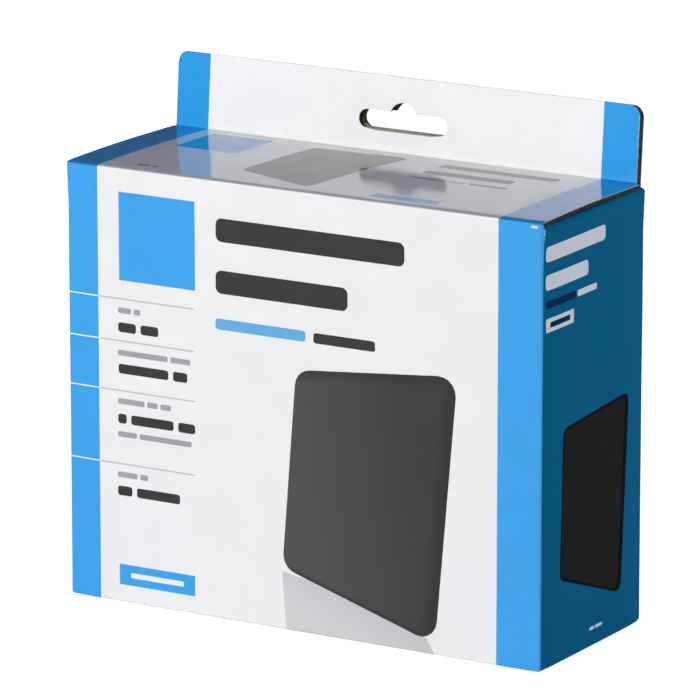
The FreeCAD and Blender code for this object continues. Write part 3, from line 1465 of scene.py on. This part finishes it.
    def wear(self, across: float, along: float) -> float:
        """Wears the folds and the base, marks the front right corner, and rubs the print round the rear
        slot, where the same measure gives the kraft its painted shade.

        Args:
            across: The place across the sheet.
            along: The place along it.

        Returns:
            How far the print is rubbed, from 0 to 1, with the painted shade round the rear slot on the same
            measure.
        """
        s = self.sizes
        ends = max(self.foot_rub.at(along), self.top_rub.at(along - s.shoulder))
        folded = bell(self.fold_gap(across) + self.fold_hard, self.fold_rub.reach)
        wear_and_shade_level = folded * (self.fold_rub.strength + ends) + self.base_rub.at(along)
        wear_and_shade_level += self.crack.at(across, along) + self.scuff.at(across, along)
        above = along - s.height
        # Round the rear slot: rubbed print, and painted shade on the kraft inside
        if above > 0.0:
            gap = self.slot.gap(across - self.back_middle + self.rear_slot_shift, above)
            wear_and_shade_level += self.slot_shade_rub.at(gap) * ease(above - self.slot.above_lid, *self.slot_shade_start)
        return min(1.0, wear_and_shade_level)

    def crush(self, across: float, along: float) -> float:
        """How much the die has pressed a cut edge together: only at the tab's head."""
        return head_crush(along, self.tab_end) if self.on_back(across) else 0.0

    def columns(self) -> list[float]:
        """Places the grid lines across the flat sheet.

        Returns:
            The lines.
        """
        stops = [-self.half, self.half, -self.corner_end, self.corner_end]
        bands = (self.front_print.left_band * MM, self.front_print.right_band * MM)
        for edge in (-self.tongue_half, self.tongue_half, *bands):
            stops += [edge, self.back_middle - edge]
        stops += [self.back_middle - self.sizes.tab_half, self.back_middle + self.sizes.tab_half]
        for start, end in self.panel_spans():
            stops += [start, end]
            for gap in (self.dust_slit, *FOLD_INSETS):
                stops += [start + gap, end - gap]
        for start in (-self.side_start, self.half, self.side_end, self.back_end):
            stops += spread(start, self.bend, FOLD_STEPS)
        return graded(stops, self.grid)

    def rows(self) -> list[float]:
        """Places the grid lines along the flat sheet, from the bottom flaps up to the tab.

        Returns:
            The lines.
        """
        s = self.sizes
        stops = [self.base_middle + reach for reach in (-self.tongue_reach, 0.0, self.tongue_reach)]
        for start in (self.base_bend, self.top_bend):
            stops += spread(start, self.bend, FOLD_STEPS)
        stops += [s.fold + inset for inset in FOLD_INSETS]
        stops += [self.top_bend - inset * MM for inset in self.top_insets]
        stops += [self.front_top, s.height, self.tab_end, self.dust_end]
        return graded(stops, self.grid)

    def wanted(self, across: float, along: float) -> bool:
        """Finds whether the flat sheet has board at a place.

        Args:
            across: The place across the sheet.
            along: The place along it.

        Returns:
            Whether there is board.
        """
        back = across - self.back_middle
        if abs(across) < self.half:
            tongue = self.tongue_reach if abs(across) < self.tongue_half else 0.0
            return self.base_middle - tongue < along < self.front_top
        if abs(back) < self.half:
            notch = self.tongue_reach if abs(back) < self.tongue_half else 0.0
            top = self.tab_end if abs(back) < self.sizes.tab_half else self.top_bend
            return self.base_middle + notch < along < top
        gap = self.fold_gap(across)
        if gap > 0.0:
            whole = self.base_bend < along < self.dust_start or gap > self.dust_slit
            return across > -self.seam and self.base_middle < along < self.dust_end and whole
        top = self.top_bend + self.top_share * self.bend
        if abs(across) < self.corner_end:
            top = self.front_top
        elif across > self.back_end or abs(across - self.back_start) < self.notch_share * self.bend:
            top = self.top_bend
        return self.base_bend + self.foot_share * self.bend < along < top

    def inked(self, across: float, along: float) -> Finish:
        """Finds the ground colour of the sheet at a place.

        Args:
            across: The place across the sheet.
            along: The place along it, which makes no difference.

        Returns:
            The ink.
        """
        left, right = self.front_print.left_band * MM, self.front_print.right_band * MM
        if abs(across) < self.half:
            return Finish.WHITE if left < across < right else Finish.BLUE
        if self.back_start <= across <= self.back_end:
            return Finish.WHITE if left < self.back_middle - across < right else Finish.BLUE
        return Finish.BLUE if abs(across) < self.half + self.blue_share * self.bend else Finish.DEEP_BLUE

    def mitre_bottom(self, sheet: FlatSheet) -> None:
        """Cuts the mitres of the bottom flaps.

        Args:
            sheet: The flat sheet.
        """
        foot = self.base_middle - self.tongue_reach
        for start, end in self.panel_spans():
            for edge, inward in ((start, 1.0), (end, -1.0)):
                inner = edge + inward * self.panel_depth / 2
                faces = sheet.within(*box_round((on_sheet(edge, foot), on_sheet(inner, self.base_bend))))
                corner = on_sheet(edge + inward * self.joint, self.base_bend)
                sheet.cut(faces, corner, on_sheet(-inward, -1.0).normalized(), drop=True)

    def taper_dust_flaps(self, sheet: FlatSheet) -> None:
        """Cuts the tapers of the dust flaps, and rounds their corners.

        Args:
            sheet: The flat sheet.
        """
        shoulder = self.dust_start + self.dust_length / 2
        left, _, right, _ = self.panel_spans()
        for start, end in (left, right):
            for edge, inward in ((start, 1.0), (end, -1.0)):
                root = on_sheet(edge, shoulder)
                tip = on_sheet(edge + inward * self.dust_taper, self.dust_end)
                run = tip - root
                outward = on_sheet(-inward * run.y, inward * run.x).normalized()
                sheet.cut(sheet.within(*box_round((root, tip))), root, outward, drop=True)
                sheet.round_corner(tip, on_sheet(inward, 0.0), -run, self.dust_corner)

    def print_panels(self, sheet: FlatSheet) -> None:
        """Prints the ground colours and all fields.

        Args:
            sheet: The flat sheet.
        """
        s = self.sizes
        sheet.inked(self.inked)
        sheet.print_fields(self.front_print.fields(), on_sheet(0.0, 0.0))
        sheet.print_fields(self.side_print.fields(), on_sheet(self.side_start - s.front - s.fold, 0.0))

    def build(self, palette: Palette) -> bpy.types.Object:
        """Builds the folded sheet and sets it on the carton's body.

        Args:
            palette: The materials.

        Returns:
            The piece, in place of the CAD carton.
        """
        s = self.sizes
        sheet = FlatSheet("carton_wrap", self.columns(), self.rows())
        sheet.keep(self.wanted)
        self.print_panels(sheet)
        self.mitre_bottom(sheet)
        self.taper_dust_flaps(sheet)
        left, right = self.back_middle - s.tab_half, self.back_middle + s.tab_half
        sheet.round_tab(left, right, self.tab_end, s.tab_corner)
        for outline in self.slot.outlines(self.back_middle - self.rear_slot_shift, s.height):
            sheet.punch(outline)
        sheet.fold_up(self.place, self.wear)
        sheet.thicken(s.board, self.crush)
        piece = sheet.finish(palette)
        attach(piece, "carton")
        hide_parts("carton")
        return piece


@dataclass
class LidSheet:
    """The lid: the bend over the front fold, the top panel and the tab's front layer.

    Sizes are in metres. Insets of the grid, the ends of the bands and their bleed are in millimetres.
    """

    sizes: CartonSizes
    slot: HangerSlot
    front_print: FrontPrint
    top_print: PanelPrint = TOP_PRINT
    grid: float = 4.0 * MM
    side_insets: tuple[float, ...] = (0.0, 0.4, 0.8, 1.6, 2.4, 3.2, 4.2, 6.0, 8.0)
    front_insets: tuple[float, ...] = (0.7, 1.4, 2.1, 2.8, 3.5, 4.5)
    rear_insets: tuple[float, ...] = (1.5, 4.0)
    foot_inset: float = 2.0
    head_inset: float = 1.0
    tab_inset: float = 0.4
    crease_steps: int = 8
    fold_inside: float = 0.5 * MM
    layer_gap: float = 0.25 * MM
    waviness: float = 0.10 * MM
    stiff_front: float = 14 * MM
    stiff_rear: float = 8 * MM
    front_half: float = 85.1 * MM
    corner_fade: float = 3 * MM
    bow: float = 0.5 * MM
    roll_reach: Span = (1.4 * MM, 3.4 * MM)
    roll_unevenness: float = 0.6
    roll_waves: float = 60.0
    taper: float = 0.9 * MM
    taper_reach: float = 9 * MM
    tab_overhang: float = 0.2 * MM
    rim_draw: float = 0.42 * MM
    rim_fade: float = 0.94
    left_band_end: float = -71.6
    right_band_end: float = 71.3
    bleed: float = 1.0
    side_rub: Rub = Rub(0.096, 0.7 * MM)
    tab_rub: Rub = Rub(0.448, 0.4 * MM)
    head_rub: Rub = Rub(0.14, 0.6 * MM)
    scuff: Mark = Mark(82.2 * MM, 0.22 * MM, 1.5 * MM, 0.38 * MM, strength=0.30)

    def __post_init__(self) -> None:
        """Works out where the folds are along the flat sheet, from the foot of the bend."""
        s = self.sizes
        self.bend = QUARTER * s.crease
        self.crease_end = s.front + s.crease
        self.tab_left = -s.tab_half - self.taper
        self.tab_right = s.tab_half + self.tab_overhang
        layers = 2 * s.board + self.layer_gap
        self.turn = QUARTER - s.lean
        root = s.back - layers / math.cos(s.lean)
        self.fold_y = root - self.fold_inside * math.tan(self.turn / 2)
        self.fold_start = self.bend + self.fold_y - self.crease_end
        self.fold_end = self.fold_start + self.turn * self.fold_inside
        self.tab_foot = self.lifted(self.turn)
        self.tab_end = self.fold_end + (s.front_head - self.tab_foot.z) / math.cos(s.lean)
        self.lid_level = self.fold_end - (self.tab_foot.z - s.height) / math.cos(s.lean)

    def lifted(self, turn: float) -> Vector:
        """The middle of the tab's inside fold where the sheet has turned up by that angle."""
        level = self.sizes.height + self.fold_inside * (1 - math.cos(turn))
        return Vector((0.0, self.fold_y + self.fold_inside * math.sin(turn), level))

    def drawn_in(self, across: float, along: float) -> float:
        """The place across, with the left side drawn in towards the back."""
        near_side = ease(-across, self.front_half - self.taper_reach, self.front_half)
        return across + self.taper * ease(along, self.bend, self.fold_start) * near_side

    def rounding(self, across: float, along: float) -> float:
        """Finds how far the lid's front edge goes back, to follow the upright folds at its ends.

        Args:
            across: The place across the sheet.
            along: The place along it.

        Returns:
            The distance.
        """
        s = self.sizes
        over = min(max(0.0, abs(across) - s.half_width + s.fold), s.fold)
        back = s.fold - math.sqrt(s.fold**2 - over**2)
        return back * (1 - ease(along, 0.5 * self.bend, self.bend + self.corner_fade))

    def top_level(self, across: float, along: float) -> float:
        """Finds the level of the top panel, with the roll of its front edge and its bow.

        Args:
            across: The place across the sheet.
            along: The place along it.

        Returns:
            The level.
        """
        s = self.sizes
        near, far = self.roll_reach
        reach = near + (far - near) * ease(across, -self.front_half, self.front_half)
        reach *= 1 + self.roll_unevenness * noise.noise(Vector((across * self.roll_waves, 0.0, 0.0)))
        left = max(0.0, 1 - (along - self.bend) / reach)
        from_middle = 2 * (along - self.bend) / (self.fold_start - self.bend) - 1
        return s.height - s.lid_roll * left**2 + self.bow * (1 - from_middle**2)

    def place(self, across: float, along: float) -> Vector:
        """Finds where a point of the flat sheet lies on the closed lid.

        Args:
            across: The point's place across the sheet.
            along: Its place along the sheet.

        Returns:
            The point in space.
        """
        s = self.sizes
        rounding = self.rounding(across, along)
        if along < self.bend:
            turn = along / s.crease
            level = s.lid_foot + s.crease * math.sin(turn)
            return Vector((across, self.crease_end - s.crease * math.cos(turn) + rounding, level))
        if along < self.fold_start:
            back = self.crease_end + along - self.bend + rounding
            place = Vector((0.0, back, self.top_level(across, along)))
        elif along < self.fold_end:
            place = self.lifted((along - self.fold_start) / self.fold_inside)
        else:
            place = self.tab_foot + s.up_tab * (along - self.fold_end)
        place.x = self.drawn_in(across, along)
        loose = ease(along, self.bend, self.bend + self.stiff_front)
        loose *= 1 - ease(along, self.fold_start - self.stiff_rear, self.fold_start)
        place.z -= self.waviness * loose * unevenness(place)
        return place

    def wear(self, across: float, along: float) -> float:
        """Wears the cut sides and the head, and scuffs the front right corner.

        Args:
            across: The place across the sheet.
            along: The place along it.

        Returns:
            How far the print is rubbed, from 0 to 1; the kraft takes painted shade where it is high.
        """
        wear_and_shade_level = self.head_rub.at(self.tab_end - along) + self.scuff.at(across, along)
        if along > self.fold_end:
            wear_and_shade_level += self.tab_rub.at(self.tab_right - across)
        else:
            wear_and_shade_level += self.side_rub.at(self.front_half - abs(across))
        return min(1.0, wear_and_shade_level)

    def crush(self, across: float, along: float) -> float:
        """How much the die has pressed a cut edge together: only at the tab's head."""
        return head_crush(along, self.tab_end)

    def draw_rim(self, sheet: FlatSheet) -> None:
        """Lets the die draw the slot's lower rim down on its printed side.

        Args:
            sheet: The folded lid, with its thickness.
        """
        flat = sheet.bm.verts.layers.float_vector["flat"]
        low = self.lid_level + self.slot.above_lid - self.slot.height / 2
        end = self.slot.width / 2 - self.slot.corner
        for vert in sheet.bm.verts:
            across, along, deep = vert[flat]
            if deep < 0.5 and abs(along - low) < SNAP and abs(across) < end:
                share = 1 - ease(abs(across), self.rim_fade * end, end)
                vert.co -= self.sizes.up_tab * (self.rim_draw * share)

    def bands(self) -> list[Field]:
        """Makes the blue bands, which are a little out of square on the top.

        Returns:
            The bands on the top, on the bend and on the tab.
        """
        front, fold = self.sizes.front / MM - self.bleed, self.fold_y / MM
        half, head = self.front_half / MM + self.bleed, fold + self.sizes.back / MM
        crease = self.crease_end / MM
        left, right = self.front_print.left_band, self.front_print.right_band
        left_end, right_end = self.left_band_end, self.right_band_end
        return [
            Field(Finish.BLUE, ((-half, front), (left, front), (left_end, fold), (-half, fold))),
            Field(Finish.BLUE, ((right, front), (half, front), (half, fold), (right_end, fold))),
            Field.bar(Finish.TAB_BLUE, -half, left, front, crease),
            Field.bar(Finish.TAB_BLUE, right, half, front, crease),
            Field.bar(Finish.TAB_BLUE, -half, left_end, fold, head),
            Field.bar(Finish.TAB_BLUE, right_end, half, fold, head),
        ]

    def columns(self) -> list[float]:
        """Places the grid lines across the flat sheet.

        Returns:
            The lines.
        """
        stops = [self.tab_left, self.tab_right - self.tab_inset * MM, self.tab_right]
        for inset in self.side_insets:
            stops += [inset * MM - self.front_half, self.front_half - inset * MM]
        return graded(stops, self.grid)

    def rows(self) -> list[float]:
        """Places the grid lines along the flat sheet, from the foot of the bend to the tab's head.

        Returns:
            The lines.
        """
        stops = spread(0.0, self.bend, self.crease_steps)
        stops += [self.bend + inset * MM for inset in self.front_insets]
        stops += [self.fold_start - inset * MM for inset in self.rear_insets]
        stops += spread(self.fold_start, self.fold_end - self.fold_start, FOLD_STEPS)
        stops += [self.fold_end + self.foot_inset * MM, self.tab_end - self.head_inset * MM, self.tab_end]
        return graded(stops, self.grid)

    def wanted(self, across: float, along: float) -> bool:
        """Whether the flat sheet has board at a place."""
        return self.tab_left < across < self.tab_right or along < self.fold_start

    def inked(self, across: float, along: float) -> Finish:
        """The ground colour of the sheet at a place."""
        # The bend and the tab take the brighter white, as painted light
        return Finish.WHITE if self.bend < along < self.fold_start else Finish.TAB_WHITE

    def build(self, palette: Palette) -> bpy.types.Object:
        """Builds the folded lid.

        Args:
            palette: The materials.

        Returns:
            The piece, in place of the CAD lid.
        """
        s = self.sizes
        sheet = FlatSheet("lid_sheet", self.columns(), self.rows())
        sheet.keep(self.wanted)
        sheet.inked(self.inked)
        fields = self.bands() + self.top_print.fields()
        sheet.print_fields(fields, on_sheet(0.0, self.bend - self.crease_end))
        sheet.round_tab(self.tab_left, self.tab_right, self.tab_end, s.tab_corner)
        for outline in self.slot.outlines(0.0, self.lid_level):
            sheet.punch(outline)
        sheet.fold_up(self.place, self.wear)
        sheet.thicken(s.lid_board, self.crush)
        self.draw_rim(sheet)
        piece = sheet.finish(palette)
        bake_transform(piece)
        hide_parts("lid_flap")
        return piece


@dataclass
class InnerFlaps:
    """The flaps that only show inside: one glued down at each end of the bottom, and one at the seam."""

    sizes: CartonSizes
    grid: float = 6 * MM
    root: float = 83.5 * MM
    reach: float = 57.5 * MM
    root_half: float = 30.2 * MM
    tip_half: float = 16.4 * MM
    seam_root: float = 31.0 * MM
    seam_tip: float = 18.2 * MM
    seam_ends: Span = (8.0 * MM, 132.0 * MM)
    seam_slope: float = 5.0 * MM
    ply: float = 1.4 * MM
    clearance: float = 0.02 * MM

    def plate(self, name: str, outline: list[Point], place: Placing) -> FlatSheet:
        """Cuts a flap to its outline and puts it in its place, printed side down.

        Args:
            name: The piece's name.
            outline: The convex outline, counter-clockwise, in metres.
            place: Where a point of the flat flap goes.

        Returns:
            The flap with its thickness.
        """
        points = [on_sheet(*point) for point in outline]
        low, high = box_round(points)
        sheet = FlatSheet(name, graded((low.x, high.x), self.grid), graded((low.y, high.y), self.grid))
        sheet.trim(points)
        sheet.fold_up(place, nowhere)
        sheet.thicken(self.ply)
        return sheet

    def build(self, palette: Palette) -> list[bpy.types.Object]:
        """Builds the three flaps and sets them on the carton's body.

        Args:
            palette: The materials.

        Returns:
            The pieces.
        """
        tip = self.root - self.reach
        floor = [(tip, -self.tip_half), (self.root, -self.root_half)]
        floor += [(self.root, self.root_half), (tip, self.tip_half)]
        low, high = self.seam_ends
        seam = [(-self.seam_root, low), (-self.seam_tip, low + self.seam_slope)]
        seam += [(-self.seam_tip, high - self.seam_slope), (-self.seam_root, high)]
        level = self.sizes.board + self.clearance
        sheets = [
            self.plate("right_floor_flap", floor, lambda across, along: Vector((across, -along, level))),
            self.plate("left_floor_flap", floor, lambda across, along: Vector((-across, along, level))),
            self.plate("seam_flap", seam, lambda across, along: Vector((-self.root, -across, along))),
        ]
        pieces = [sheet.finish(palette) for sheet in sheets]
        for piece in pieces:
            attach(piece, "carton")
        return pieces


@dataclass(frozen=True)
class Lamp:
    """A soft oval lamp that faces the carton: degrees, metres and watts."""

    name: str
    azimuth: float
    elevation: float
    width: float
    height: float
    power: float
    distance: float = 2.4
    colour: Colour = (1.0, 1.0, 1.0)

    def build(self, aim: Vector) -> None:
        """Sets the lamp up.

        Args:
            aim: The point that it faces.
        """
        azimuth, elevation = math.radians(self.azimuth), math.radians(self.elevation)
        level = math.cos(elevation)
        way = Vector((math.sin(azimuth) * level, -math.cos(azimuth) * level, math.sin(elevation)))
        data = bpy.data.lights.new(self.name, "AREA")
        data.shape = "ELLIPSE"
        data.size, data.size_y = self.width, self.height
        data.energy = self.power
        data.color = self.colour
        lamp = bpy.data.objects.new(self.name, data)
        lamp.location = aim + way * self.distance
        lamp.rotation_euler = way.to_track_quat("Z", "Y").to_euler()
        bpy.context.scene.collection.objects.link(lamp)


KEY_COLOUR: Colour = (1.0, 0.99, 0.97)
STUDIO_LAMPS = (
    Lamp("key", azimuth=-14.0, elevation=6.5, width=1.6, height=0.45, power=48.0, colour=KEY_COLOUR),
    Lamp("right_fill", azimuth=108.0, elevation=20.0, width=2.2, height=1.3, power=19.6, distance=2.0),
    Lamp("left_fill", azimuth=-105.0, elevation=6.0, width=0.9, height=0.45, power=16.0),
    Lamp("rear_fill", azimuth=180.0, elevation=6.0, width=0.9, height=0.45, power=20.0),
)


@dataclass(frozen=True)
class FloorPaper:
    """Plain pale paper that keeps the shadow and looks white to the camera and in gloss."""

    name: str = "floor_paper"
    colour: Colour = (0.80, 0.80, 0.81)
    glow: float = 0.80
    roughness: float = 0.9
    gloss: float = 0.1

    def material(self) -> bpy.types.Material:
        """Builds the material.

        Returns:
            The new material.
        """
        shader = Shader(self.name)
        rays = shader.add("LightPath").outputs
        seen = shader.math("MAXIMUM", rays["Is Camera Ray"], rays["Is Glossy Ray"])
        seen = shader.math("MAXIMUM", seen, rays["Is Transmission Ray"])
        inputs = {
            "Base Color": (*self.colour, 1.0),
            "Roughness": self.roughness,
            "Specular IOR Level": self.gloss,
            "Emission Color": (1.0, 1.0, 1.0, 1.0),
            "Emission Strength": shader.math("MULTIPLY", seen, self.glow),
        }
        shader.feed(shader.surface, inputs)
        return shader.material


@dataclass
class Studio:
    """The floor, the lamps, the world and the camera, in metres, with the lens in millimetres."""

    eye: Vector = field(default_factory=lambda: Vector((1.00595, -1.69713, 0.58251)))
    aim: Vector = field(default_factory=lambda: Vector((0.01809, -0.03275, 0.09326)))
    lens: float = 334.62
    sensor: float = 36.0
    clip: Span = (0.05, 30.0)
    floor_drop: float = 0.2 * MM
    floor_half: float = 6.0
    paper: FloorPaper = FloorPaper()
    horizon_level: float = 0.046
    zenith_level: float = 0.143
    world_colour: Colour = (0.78, 0.90, 1.28)
    lamps: tuple[Lamp, ...] = STUDIO_LAMPS

    def build_floor(self) -> None:
        """Lays the paper under the carton."""
        bm = bmesh.new()
        bmesh.ops.create_grid(bm, x_segments=1, y_segments=1, size=self.floor_half)
        bmesh.ops.translate(bm, verts=bm.verts, vec=(0.0, 0.0, -self.floor_drop))
        mesh = bpy.data.meshes.new("floor")
        bm.to_mesh(mesh)
        bm.free()
        mesh.materials.append(self.paper.material())
        floor = bpy.data.objects.new("floor", mesh)
        bpy.context.scene.collection.objects.link(floor)
        floor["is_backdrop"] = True

    def build_world(self) -> None:
        """Makes a dim world, lighter overhead than at the horizon."""
        world = bpy.data.worlds.new("studio")
        world.use_nodes = True
        nodes, links = world.node_tree.nodes, world.node_tree.links
        backdrop = nodes["Background"]
        backdrop.inputs["Color"].default_value = (*self.world_colour, 1.0)
        height = nodes.new("ShaderNodeMapRange")
        height.inputs["To Min"].default_value = self.horizon_level
        height.inputs["To Max"].default_value = self.zenith_level
        axes = nodes.new("ShaderNodeSeparateXYZ")
        links.new(nodes.new("ShaderNodeTexCoord").outputs["Generated"], axes.inputs[0])
        links.new(axes.outputs["Z"], height.inputs["Value"])
        links.new(height.outputs["Result"], backdrop.inputs["Strength"])
        bpy.context.scene.world = world

    def build_camera(self) -> None:
        """Sets the camera up at the photograph's viewing angle."""
        data = bpy.data.cameras.new("camera")
        data.lens = self.lens
        data.sensor_width = self.sensor
        data.clip_start, data.clip_end = self.clip
        camera = bpy.data.objects.new("camera", data)
        camera.location = self.eye
        camera.rotation_euler = (self.aim - self.eye).to_track_quat("-Z", "Y").to_euler()
        bpy.context.scene.collection.objects.link(camera)
        bpy.context.scene.camera = camera

    def build(self) -> None:
        """Builds the whole stage."""
        self.build_floor()
        for lamp in self.lamps:
            lamp.build(self.aim)
        self.build_world()
        self.build_camera()
        bpy.context.scene.view_settings.view_transform = "Standard"


def main() -> None:
    logging.basicConfig(level=logging.INFO, format="%(name)s: %(message)s")
    for old in list(bpy.data.objects):
        bpy.data.objects.remove(old)
    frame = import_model()
    cad_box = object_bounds()
    sizes = CartonSizes.from_frame(frame)
    board, slot, front_print = Board(), HangerSlot(), FrontPrint()
    wrap_inks = Palette(board, "wrap", WRAP_VARNISH)
    lid_inks = Palette(board, "lid", LID_VARNISH)
    pieces = [
        CartonWrap(sizes, slot, front_print).build(wrap_inks),
        LidSheet(sizes, slot, front_print).build(lid_inks),
        *InnerFlaps(sizes).build(wrap_inks),
    ]
    for piece in pieces:
        LOG.info("%s has %d faces", piece.name, len(piece.data.polygons))
    Studio().build()
    boxes = {"cad": cad_box, "visual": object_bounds()}
    {name: [list(corner) for corner in box] for name, box in boxes.items()}


if __name__ == "__main__":
    main()
